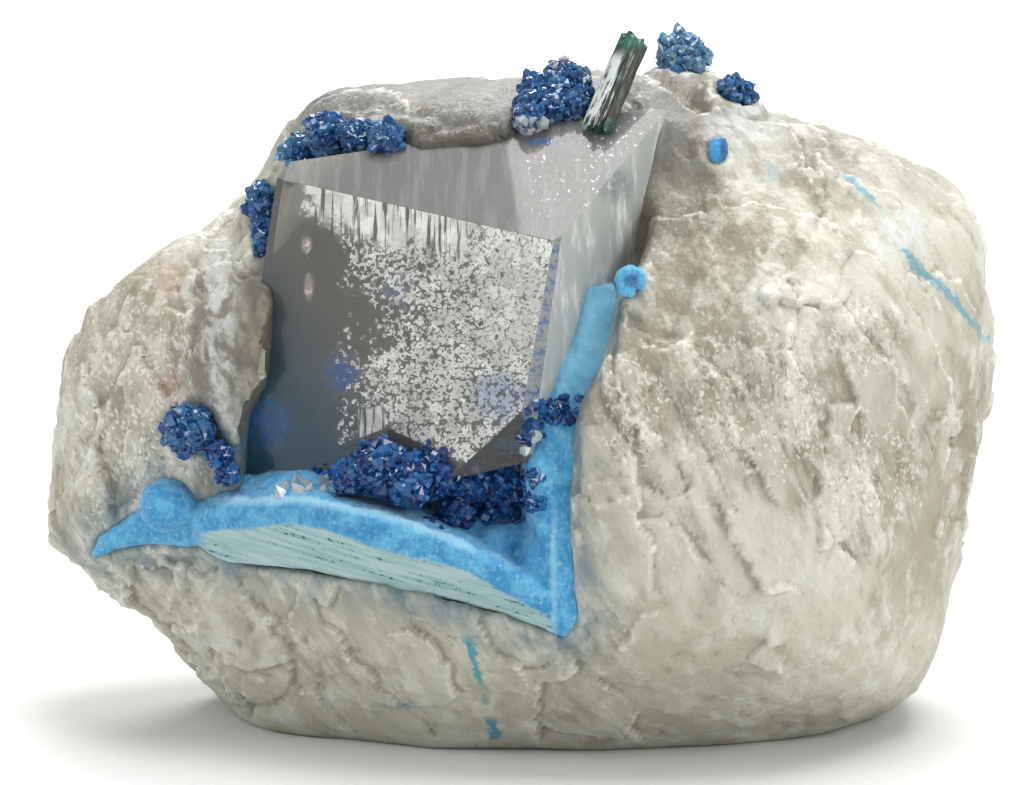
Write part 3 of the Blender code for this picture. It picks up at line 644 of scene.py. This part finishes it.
tufts = clear.patch((-14.3, 35.9), (0.5, 0.8)).most(clear.patch((-14.1, 33.0), (0.45, 1.2)))
blobs = clear.patch((-11.6, 27.1), (1.7, 1.9)).most(clear.patch((-17.0, 23.6), (2.2, 2.4)))
blobs = blobs.most(clear.patch((-7.8, 32.8), (1.6, 1.6)) * 0.7) * clear.step(chips, 0.30, 0.60)
dust = 0.14 + on_front * (0.22 + specks * 0.20 * clear.step(cloud, -0.1, 0.2) + blobs * 0.6)
dust = dust + tufts * clear.step(chips, 0.50, 0.6) * 0.4
frost = on_top * (0.45 + glints * 0.55) + on_bevel * 0.65
# The right facet is covered thickly: partly its frost, partly painted light for a face turned from the
# lamps.
frost = frost + on_right * (0.70 + clear.step(lines, 0.5, 0.75) * 0.25)
# Painted reflection: the grey haze turns blue-green towards the bottom left, where the blue druse below
# would show in the glass.
druse_reflection = clear.step((up - 29.0) * 0.8 + right + 12.0, 3.0, -9.0)
haze_and_reflection = clear.mix(druse_reflection, (0.25, 0.245, 0.225), (0.022, 0.125, 0.22))
haze_and_reflection = clear.mix(blobs, haze_and_reflection, (0.015, 0.08, 0.26))
haze_and_reflection = clear.mix(tufts, haze_and_reflection, (0.75, 0.66, 0.62))
tone = clear.node("TexVoronoi", {}, {"Vector": clear.warped(flat, 0.6, 0.3), "Scale": 1.0}, "Color")
tone = clear.parts(tone)[0]
# The plates' colour, lighter near the top edge: partly frost, partly painted reflection.
plate = clear.mix(tone * 0.7 + (chips - 0.5) + near_top * 0.35, (0.50, 0.50, 0.48), (0.88, 0.89, 0.85))
plate = clear.mix(clear.patch((-0.8, 25.3), (2.4, 2.2)) * 0.6, plate, (0.16, 0.27, 0.48))
top = clear.mix(clear.step(lines, 0.42, 0.68), (0.31, 0.32, 0.31), (0.42, 0.44, 0.43))
# Painted glints on the top facet.
top = clear.mix(glints, top, (0.95, 0.96, 0.96))
# Painted light: the right facet, turned right and down from the lamps, is painted a light streaky grey so
# that it shows bright.
side = clear.mix(clear.step(lines, 0.45, 0.72), (0.60, 0.64, 0.62), (0.87, 0.89, 0.88))
side = clear.mix(clear.patch((1.8, 29.0), (0.5, 1.2)) * 0.5, side, (0.5, 0.12, 0.08))
surface = clear.mix(mosaic, haze_and_reflection, plate)
surface = clear.mix(on_top, surface, top)
surface = clear.mix(on_right, surface, side)
bevel = clear.mix(clear.step(chips, 0.40, 0.55), (0.12, 0.22, 0.42), (0.42, 0.44, 0.46))
surface = clear.mix(on_bevel, surface, bevel)
smear = clear.patch((2.0, 43.0), (1.5, 0.5))
smear_tone = clear.mix(smear, (0.16, 0.20, 0.28), (0.04, 0.22, 0.50))
smear = smear.most(clear.patch((7.2, 40.0), (1.6, 1.6)) * 0.7)
surface = clear.mix(smear * clear.step(chips, 0.30, 0.55) * 0.8, surface, smear_tone)
etched = clear.node("BsdfPrincipled", {}, {
    "Base Color": surface, "Roughness": 0.30, "Normal": clear.bump(chips, 0.012)})
inside = clear.node("VolumeAbsorption", {}, {"Color": (0.45, 0.52, 0.55, 1.0), "Density": 90.0})
clear.wear(Base_Color=(0.93, 0.95, 0.95), Roughness=0.03, IOR=1.50, Transmission_Weight=1.0)
cover = mosaic.most(frost).most(dust)
mixed = clear.node("MixShader", {}, {0: cover, 1: Value(clear.tree, clear.skin.outputs[0]), 2: etched})
clear.tree.links.new(mixed.socket, clear.end.inputs["Surface"])
clear.tree.links.new(inside.socket, clear.end.inputs["Volume"])
dress(rhomb, clear.material)

# The lining: a crust of azure shattuckite, finely fibrous and velvety, that coats the hollow's floor
# and right wall. Its broken lip shows the fibres, and pale turquoise layers under them.
LINING_GRAIN = 0.00017
# The low fill in the corner of ledge and wall: the middles and reaches of the balls that make it.
FILL = [
    ((-2.8, 16.3, -11.0), (1.6, 2.2, 1.2)), ((-0.5, 15.3, -12.0), (2.2, 2.8, 1.6)),
    ((1.2, 13.6, -12.8), (1.6, 2.8, 2.0)), ((1.7, 13.8, -14.6), (1.2, 2.2, 2.0)),
    ((1.8, 12.0, -14.2), (1.2, 2.4, 1.5)), ((2.2, 12.4, -15.4), (1.0, 1.8, 1.6)),
]
# The edge along which the crust is broken off, from left to right, and the top of its lit lip.
LIP = [
    (-29.0, 14.8), (-25.0, 15.5), (-21.5, 15.9), (-18.3, 16.1), (-15.5, 16.5), (-12.7, 15.9), (-9.9, 14.8),
    (-7.1, 14.1), (-5.0, 13.7), (-2.9, 13.0), (-0.8, 11.7), (2.0, 10.3), (3.4, 9.0), (9.0, 8.0),
]
LIP_TOP = [
    (-29.0, 18.0), (-16.9, 18.1), (-14.7, 18.2), (-11.9, 17.6), (-9.5, 17.2), (-7.2, 16.5), (-4.2, 15.4),
    (-2.4, 14.5), (-1.9, 13.9), (9.0, 6.0),
]


def seen(right, up, depth):
    """The place in metres that shows at this point of the display face and lies this deep."""
    line = SIGHT * FAR + Vector((1, 0, 0)) * right + RISE * (up - AIM_HEIGHT)
    return (EYE + line * ((depth + MOVED.y - EYE.y) / line.y)) / 1000


lining = take_over("shattuckite_lining", "azure_lining")
swell(ROOM)
bpy.ops.object.select_all(action="DESELECT")
balls = []
for middle, reach in FILL:
    bpy.ops.mesh.primitive_uv_sphere_add(
        segments=24, ring_count=12, radius=0.001, location=seen(*middle), scale=reach)
    balls.append(bpy.context.object)
for piece in (*balls, lining):
    piece.select_set(True)
bpy.context.view_layer.objects.active = lining
bpy.ops.object.join()
modify(lining, "REMESH", mode="VOXEL", voxel_size=LINING_GRAIN, use_smooth_shade=True)
modify(lining, "SMOOTH", factor=0.5, iterations=5)
places, facings = corners_of(lining)
spots = shown(places)
under = np.interp(spots[:, 0], *zip(*LIP)) - spots[:, 1]
over = spots[:, 1] - np.interp(spots[:, 0], *zip(*LIP_TOP))
knobs = clouds(places, 1.5) * 0.16 + clouds(places, 0.6, 3.0) * 0.09 + clouds(places, 0.28, 5.0) * 0.035
tilted = places[:, 2] + places[:, 0] * 0.2
sheets = clouds(np.column_stack((places[:, 0] / 3.0, places[:, 1] / 2.0, tilted / 0.35)), 1.0)
torn = (under > 0) & (spots[:, 0] < 2.5)
move_corners(lining, places + facings * np.where(torn, sheets * 0.10, knobs)[:, None])
jot(lining, "under_lip", under)
jot(lining, "over_lip", over)
jot(lining, "display_face", spots)

azure = Finish("Azure shattuckite")
point = azure.place()
under_lip = azure.attribute("under_lip")
right, up = azure.face()
felt = azure.noise(point, 0.35, 4.0, 0.65)
mottle = azure.noise(point, 1.3, 4.0, 0.6)
fibres = azure.noise(azure.place((0.2, 1.0, 1.4), (0.0, 0.12, 0.0)), 1.0, 3.0, 0.6)
blue = azure.mix(azure.step(mottle, 0.35, 0.68), (0.045, 0.28, 0.58), (0.13, 0.48, 0.76))
blue = azure.mix(azure.step(felt, 0.50, 0.72) * 0.7, blue, (0.33, 0.62, 0.76))
blue = azure.mix(azure.step(fibres, 0.55, 0.72) * 0.35, blue, (0.05, 0.24, 0.48))
specks = azure.step(azure.noise(point, 0.30, 3.0, 0.7), 0.64, 0.70) * azure.step(mottle, 0.42, 0.55)
blue = azure.mix(specks * 0.8, blue, (0.01, 0.07, 0.16))
over_lip = azure.attribute("over_lip") + (fibres - 0.5) * 0.5
# Painted highlights: the lit top of the broken lip and the ridge on the right wall are painted pale azure.
lit = azure.step(over_lip, 0.25, 0.0) * azure.step(over_lip, -0.75, -0.1) * azure.step(right, -2.0, -3.0)
ridge = azure.step(abs(right - 2.9 + (mottle - 0.5) * 0.8), 0.35, 0.05) * azure.step(up, 18.5, 16.5)
blue = azure.mix((lit * azure.step(right, -22.0, -19.0)).most(ridge * 0.6) * 0.62, blue, (0.42, 0.72, 0.86))
blue = azure.mix(azure.step(up, 23.0, 28.0) * 0.62, blue, (0.30, 0.66, 0.86))
layers = azure.noise(azure.place((5.0, 3.0, 0.30), (0.0, 0.22, 0.0)), 1.0, 3.0, 0.6)
pale = azure.mix(azure.step(layers, 0.35, 0.65), (0.27, 0.47, 0.50), (0.45, 0.60, 0.61))
pale = azure.mix(azure.step(layers * 0.5 + felt * 0.5, 0.425, 0.385), pale, (0.03, 0.13, 0.16))
pale = azure.mix(azure.step(under_lip + (mottle - 0.5) * 2.0, 2.8, 3.8) * 0.5, pale, (0.10, 0.36, 0.58))
torn = azure.step(under_lip + (felt - 0.5) * 0.5, -0.05, 0.25)
torn = torn * azure.step(right, 3.4, 2.2) * azure.step(right, -22.5, -21.0)
colour = azure.mix(torn, blue, pale)
pore = azure.bump(felt + fibres * 0.4, 0.10)
dress(lining, azure.wear(
    Base_Color=colour, Roughness=0.82, Normal=pore, Specular_IOR_Level=0.3,
    Sheen_Weight=0.25, Sheen_Roughness=0.5))

# The druse: deep-blue quartz points, packed side by side over the hollow's floor and in a band across
# its right wall, with a few colourless ones on the ledge. Each is a small six-sided point, coloured
# through by what it grew over, with bright flat faces.
bpy.ops.object.select_all(action="DESELECT")
bpy.ops.mesh.primitive_cylinder_add(vertices=6, radius=1.0, depth=0.7, location=(0, 0, -0.35))
pattern = bpy.context.object
pattern.name = "Point_pattern"
bpy.ops.object.mode_set(mode="EDIT")
bpy.ops.mesh.select_all(action="DESELECT")
bpy.ops.object.mode_set(mode="OBJECT")
for face in pattern.data.polygons:
    face.select = face.normal.z > 0.9
bpy.ops.object.mode_set(mode="EDIT")
bpy.ops.mesh.extrude_region_move(TRANSFORM_OT_translate={"value": (0, 0, 1.15)})
bpy.ops.mesh.merge(type="CENTER")
bpy.ops.object.mode_set(mode="OBJECT")
pattern.data.transform(pattern.matrix_world)
pattern.matrix_world = Matrix.Identity(4)


def find_spots(node, spacing, size, seed, least=-0.45):
    """Places spread over a node's faces no nearer to each other than the spacing: facing and size too."""
    toward = Vector((0.0, -0.64, 0.77))
    rng = random.Random(seed)
    faces = [face for face in frame["nodes"][node].data.polygons
             if face.normal.dot(toward) > least]
    corners = frame["nodes"][node].data.vertices
    weights = [face.area for face in faces]
    kept = []
    for face in rng.choices(faces, weights, k=int(sum(weights) * 1e6 / spacing ** 2 * 6)):
        a, b, c = (corners[index].co for index in face.vertices[:3])
        along, across = sorted((rng.random(), rng.random()))
        place = a * along + b * (across - along) + c * (1 - across)
        if all((place - other[0]).length > spacing / 1000 for other in kept):
            kept.append((place, face.normal.copy(), size))
    return kept


ALL_BLUE = (0.0, 99.0)
COLOURLESS = 3.0  # the tone of a point with no blue in it
SUNK = 0.65  # how much of its length a point stands in what it grows on
SWAY = 0.35


def grow(name, node, spots, seed, blue_up=ALL_BLUE, shrink=0.05):
    """One piece of quartz points over a slightly shrunk core of the node: place, facing and size each."""
    rng = random.Random(seed)
    body = take_over(node, name)
    swell(-shrink / 1000, False)
    bm = bmesh.new()
    bm.from_mesh(body.data)
    tips = bm.verts.layers.float.new("tip")
    tones = bm.verts.layers.float.new("tone")
    for vert in bm.verts:
        vert[tones] = 0.3
    for place, facing, size, *told in spots:
        done = len(bm.verts)
        bm.from_mesh(pattern.data)
        bm.verts.ensure_lookup_table()
        fresh = bm.verts[done:]
        lean = Vector([rng.gauss(0, SWAY) for _ in range(3)])
        wide = size / 1000 * rng.choice((0.55, 0.7, 0.85, 1.0, 1.0, 1.25))
        long = wide * rng.uniform(0.9, 1.4)
        turn = (facing + lean).normalized().to_track_quat("Z", "Y").to_matrix().to_4x4()
        spin = Matrix.Rotation(rng.uniform(0, math.tau), 4, "Z")
        flat = Matrix.Diagonal((wide, wide * rng.uniform(0.75, 1.0), long, 1.0))
        offset = Matrix.Translation(Vector((rng.uniform(-0.15, 0.15) * wide, 0, -SUNK * long)))
        tone = told[0] if told else rng.random()
        up = shown(np.array([place]) * 1000)[0, 1]
        if not blue_up[0] < up + rng.uniform(-0.5, 0.5) < blue_up[1]:
            tone = COLOURLESS
        for vert in fresh:
            vert[tips] = min(max(vert.co.z + 0.35, 0.0), 1.2) / 1.2
            vert[tones] = tone
        bmesh.ops.transform(bm, matrix=Matrix.Translation(place) @ turn @ offset @ spin @ flat, verts=fresh)
    bm.to_mesh(body.data)
    bm.free()
    for face in body.data.polygons:
        face.use_smooth = False
    return body


def blue_quartz(name, deep, middle, pale, paleness, through):
    """Glassy quartz, blue inside and paler towards the tips."""
    finish = Finish(name)
    point = finish.place()
    tip, tone = finish.attribute("tip"), finish.attribute("tone")
    cloud = finish.noise(point, 0.6, 3.0, 0.6)
    colour = finish.mix(finish.step(tone + cloud * 0.8, 0.45, 1.25), deep, middle)
    tipped = finish.step(tip + (tone - 0.5) * 0.4 + (cloud - 0.5), 1.0 - paleness, 1.25)
    colour = finish.mix(tipped, colour, pale)
    colour = finish.mix(finish.step(tone, 1.5, 2.5), colour, (0.60, 0.69, 0.75))
    return finish.wear(Base_Color=colour, Roughness=0.06, IOR=1.54, Transmission_Weight=through,
                       Coat_Weight=0.3, Coat_Roughness=0.03)


deep_blue = blue_quartz(
    "Deep blue quartz", (0.008, 0.04, 0.20), (0.02, 0.15, 0.46), (0.10, 0.36, 0.68), 0.30, 0.30)
met_faces = [BVHTree.FromObject(piece, bpy.context.evaluated_depsgraph_get()) for piece in (rhomb, lining)]


def sighted(right, up, size, *told):
    """A point on what the eye meets here of the rhomb or the lining, or none where it meets neither."""
    way = (seen(right, up, 0.0) - EYE / 1000).normalized()
    met = [hit for hit in (tree.ray_cast(EYE / 1000, way) for tree in met_faces) if hit[0]]
    if not met:
        return []
    place, facing = min(met, key=lambda hit: hit[3])[:2]
    return [(place + facing * 0.00016, facing, size, *told)]


# Loose heaps of more points: the middle of each, how far it spreads, how many, and their size.
HEAPS = [
    ((-4.5, 16.9), 0.50, 40, 0.30), ((0.0, 16.9), 0.40, 26, 0.30), ((1.4, 17.7), 0.50, 30, 0.32),
    ((-1.2, 18.3), 0.80, 34, 0.34), ((-3.3, 18.6), 1.0, 34, 0.34), ((1.2, 19.6), 0.45, 34, 0.34),
    ((2.9, 24.3), 0.70, 100, 0.42), ((1.2, 22.6), 0.40, 30, 0.42), ((-12.6, 20.0), 0.6, 18, 0.36),
]
CLEAR_POINTS = [
    (-16.2, 18.5), (-15.7, 18.9), (-15.2, 18.6), (-14.6, 19.0), (-14.0, 18.7), (-13.5, 19.2), (-12.9, 19.4),
    (-12.4, 19.0), (-15.0, 19.4), (-13.2, 18.6), (-11.8, 18.8), (0.9, 21.4), (1.3, 22.2),
]
rng = random.Random(23)
druse_spots = find_spots("druse_crust", 0.80, 0.52, 3) + find_spots("druse_crust", 0.34, 0.28, 4)
for (right, up), reach, count, size in HEAPS:
    for _ in range(count):
        druse_spots += sighted(rng.gauss(right, reach), rng.gauss(up, reach * 0.7), size)
for right, up in CLEAR_POINTS:
    for place, facing, *rest in sighted(right, up, 0.55, COLOURLESS):
        druse_spots.append((place + facing * 0.00022, facing, *rest))
druse = grow("blue_druse", "druse_crust", druse_spots, 41)
dress(druse, deep_blue)

# The clusters on the lump: the same blue quartz in balls and crusts of finer points, paler where
# clear quartz has grown over the blue. The top cluster has colourless points above and below.
ball_blue = blue_quartz(
    "Blue quartz with clear rims", (0.06, 0.22, 0.48), (0.17, 0.43, 0.70), (0.62, 0.74, 0.82), 0.72, 0.40)
cluster_blue = blue_quartz(
    "Blue quartz of the crusts", (0.015, 0.09, 0.32), (0.05, 0.24, 0.52), (0.40, 0.58, 0.72), 0.32, 0.40)
for name, node, seed, blue_up, shrink, finish in (
        ("top_ball", "top_blue_ball", 5, ALL_BLUE, 0.05, ball_blue),
        ("left_ball", "left_blue_ball", 6, ALL_BLUE, 0.05, cluster_blue),
        ("top_cluster", "top_blue_cluster", 7, (44.6, 48.6), 0.05, cluster_blue),
        ("rim_cluster", "rim_blue_cluster", 8, ALL_BLUE, 0.05, cluster_blue),
        ("edge_cluster", "left_edge_cluster", 9, ALL_BLUE, 0.05, cluster_blue),
        ("left_patch", "left_dark_patch", 10, ALL_BLUE, 0.05, deep_blue),
        ("right_patch", "right_blue_patch", 11, ALL_BLUE, 0.45, cluster_blue)):
    places = find_spots(node, 0.60, 0.40, seed, -0.8) + find_spots(node, 0.32, 0.27, seed, -0.8)
    if name == "right_patch":
        places = [(place - facing * 0.00035, facing, size) for place, facing, size in places]
    cluster = grow(name, node, places, seed + 60, blue_up, shrink)
    dress(cluster, finish)
bpy.data.objects.remove(pattern)

# The azure beads: two little balls of shattuckite. One is broken open and shows its fibres running
# out from the middle.


def bead_finish(name, centre, ring):
    """Azure felt, painted lighter on the left and darker to the right as light and shade; a broken bead has
    a bright rim, fibres and a dark middle.
    """
    finish = Finish(name)
    right, up = finish.face()
    felt = finish.noise(finish.place(), 0.18, 4.0, 0.65)
    across, tall = right - centre[0], up - centre[1]
    if ring:
        out = (across * across + tall * tall).power(0.5)
        way = finish.node("CombineXYZ", {}, {"X": across / out * 4.0, "Y": tall / out * 4.0})
        spokes = finish.noise(way, 0.6, 3.0)
        opened = finish.step(out + (felt - 0.5) * 0.3, 0.30, 0.62)
        colour = finish.mix(opened, (0.03, 0.17, 0.38), (0.09, 0.40, 0.72))
        colour = finish.mix(finish.step(spokes, 0.50, 0.62) * 0.6, colour, (0.25, 0.58, 0.80))
        colour = finish.mix(finish.step(out, 0.74, 0.84) * 0.7, colour, (0.10, 0.46, 0.78))
    else:
        # Painted light and shade: the bead is painted lighter on the left and darker to the right.
        shades = finish.noise(finish.place(), 0.8, 2.0)
        shaded = finish.step(across + (shades - 0.5) * 1.2, 0.50, -0.20)
        colour = finish.mix(shaded, (0.015, 0.12, 0.34), (0.07, 0.36, 0.70))
    colour = finish.mix(finish.step(felt, 0.55, 0.75) * 0.5, colour, (0.25, 0.58, 0.78))
    return finish.wear(Base_Color=colour, Roughness=0.7, Normal=finish.bump(felt, 0.06), Sheen_Weight=0.2)


for node, name, centre, ring in (
        ("azure_bead", "small_bead", (14.4, 42.4), False),
        ("azure_broken_bead", "broken_bead", (8.26, 33.3), True)):
    bead = take_over(node, name)
    modify(bead, "REMESH", mode="VOXEL", voxel_size=0.00006, use_smooth_shade=True)
    modify(bead, "SMOOTH", factor=0.5, iterations=3)
    places, facings = corners_of(bead)
    places += facings * (clouds(places, 0.5) * 0.12 + clouds(places, 0.18) * 0.05)[:, None]
    across, tall = (shown(places)[:, :2] - np.array(centre)).T
    if ring:
        notch = np.exp(-((across - 0.62) / 0.28) ** 2 - ((tall + 0.72) / 0.42) ** 2)
        places += (places.mean(axis=0) - places) * (notch * 0.6)[:, None]
        places[:, 1] += 0.25 * ease(0.7, 0.2, np.hypot(across, tall)) * (facings[:, 1] < 0)
    else:
        places[:, 0] += 0.1 * tall
    move_corners(bead, places)
    jot(bead, "display_face", shown(places))
    dress(bead, bead_finish(name, centre, ring))

# The malachite prism: one dark-green stalk of fibres, split along its length, with a painted silver sheen in
# silky streaks on the face to the left, and rough green ends.
FOOT, TIP = seen(5.9, 44.0, -9.3), seen(8.6, 50.3, -5.0)
length = (TIP - FOOT).length
RADIUS = 0.001
HALF_WIDE, HALF_DEEP = 0.00104, 0.00080
bpy.ops.object.select_all(action="DESELECT")
bpy.ops.mesh.primitive_cylinder_add(vertices=56, radius=RADIUS, depth=1.0)
stalk = bpy.context.object
stalk.name = "green_prism"
bm = bmesh.new()
bm.from_mesh(stalk.data)
sides = [edge for edge in bm.edges if abs(edge.verts[0].co.z - edge.verts[1].co.z) > 0.5]
bmesh.ops.subdivide_edges(bm, edges=sides, cuts=26, use_grid_fill=True)
caps = [face for face in bm.faces if abs(face.normal.z) > 0.9]
bmesh.ops.inset_region(bm, faces=caps, thickness=0.0004)
for vert in bm.verts:
    turn = math.atan2(vert.co.y, vert.co.x)
    share = vert.co.z + 0.5
    out = math.hypot(vert.co.x, vert.co.y) / RADIUS
    square = 1.0 / (abs(math.cos(turn)) ** 5 + abs(math.sin(turn)) ** 5) ** 0.2
    groove = noise.noise(Vector((math.cos(turn) * 5.0, math.sin(turn) * 5.0, share * 1.6)))
    split = noise.noise(Vector((math.cos(turn) * 9.0, math.sin(turn) * 9.0, share * 3.0 + 5.0)))
    wide = square * (1.0 + 0.13 * groove + 0.07 * split) * out
    step = noise.cell(Vector((math.cos(turn) * out * 2.2, math.sin(turn) * out * 2.2, 1.5)))
    ends = (0.25 * step - 0.1) * ease(0.82, 1.0, share) - (0.45 * step - 0.1) * ease(0.25, 0.0, share)
    flare = math.cos(turn) * out * 0.0004 * ease(0.8, 1.0, share)
    vert.co = Vector((math.cos(turn) * wide * HALF_WIDE, math.sin(turn) * wide * HALF_DEEP,
                      vert.co.z * length + ends * 0.0012 + flare))
bm.to_mesh(stalk.data)
bm.free()
turn = (TIP - FOOT).to_track_quat("Z", "Y").to_matrix().to_4x4()
spin = Matrix.Rotation(math.radians(-28), 4, "Z")
stalk.data.transform(Matrix.Translation((FOOT + TIP) / 2) @ turn @ spin)
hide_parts("malachite_prism")
bpy.ops.object.select_all(action="DESELECT")
stalk.select_set(True)
bpy.context.view_layer.objects.active = stalk
bpy.ops.object.shade_smooth_by_angle(angle=math.radians(30))
green = Finish("Malachite")
axis = (TIP - FOOT).normalized()
lie = Vector((0, 0, 1)).rotation_difference(axis).to_euler()
along = green.place((0.28, 0.28, 2.9), tuple(lie))
fibres = green.noise(along, 1.0, 4.0, 0.65)
chips = green.noise(green.place(), 0.8, 3.0, 0.6)
# Painted sheen: the faces turned to the front left get silvery streaks along the fibres, away from the ends.
normal = green.node("TexCoord", {}, {}, "Normal")
shine = green.vectors("DOT_PRODUCT", normal, (-0.72, -0.66, 0.20))
shine = green.step(Value(green.tree, shine.socket.node.outputs["Value"]), 0.55, 0.85)
height = green.parts(green.place())[2]
painted_sheen = shine * green.step(fibres + chips * 0.4, 0.63, 0.70)
painted_sheen = painted_sheen * green.step(height, 44.9, 45.6) * green.step(height, 50.6, 49.6)
ends = green.step(height, 45.9, 44.9).most(green.step(height, 49.9, 51.2))
colour = green.mix(green.step(fibres, 0.35, 0.7), (0.004, 0.010, 0.007), (0.035, 0.045, 0.032))
pale = green.step(fibres - chips * 0.2, 0.48, 0.58) * 0.5
colour = green.mix(pale, colour, (0.26, 0.25, 0.20))
ripeness = green.step(chips + fibres * 0.4 + ends * 0.1, 0.62, 0.95)
ripe = green.mix(ripeness, (0.002, 0.022, 0.015), (0.03, 0.22, 0.14))
colour = green.mix(ends.most(green.step(chips, 0.60, 0.66) * 0.6) * 0.95, colour, ripe)
colour = green.mix(painted_sheen * 0.92, colour, (0.70, 0.74, 0.74))
dress(stalk, green.wear(Base_Color=colour, Roughness=0.34, Normal=green.bump(fibres, 0.12)))
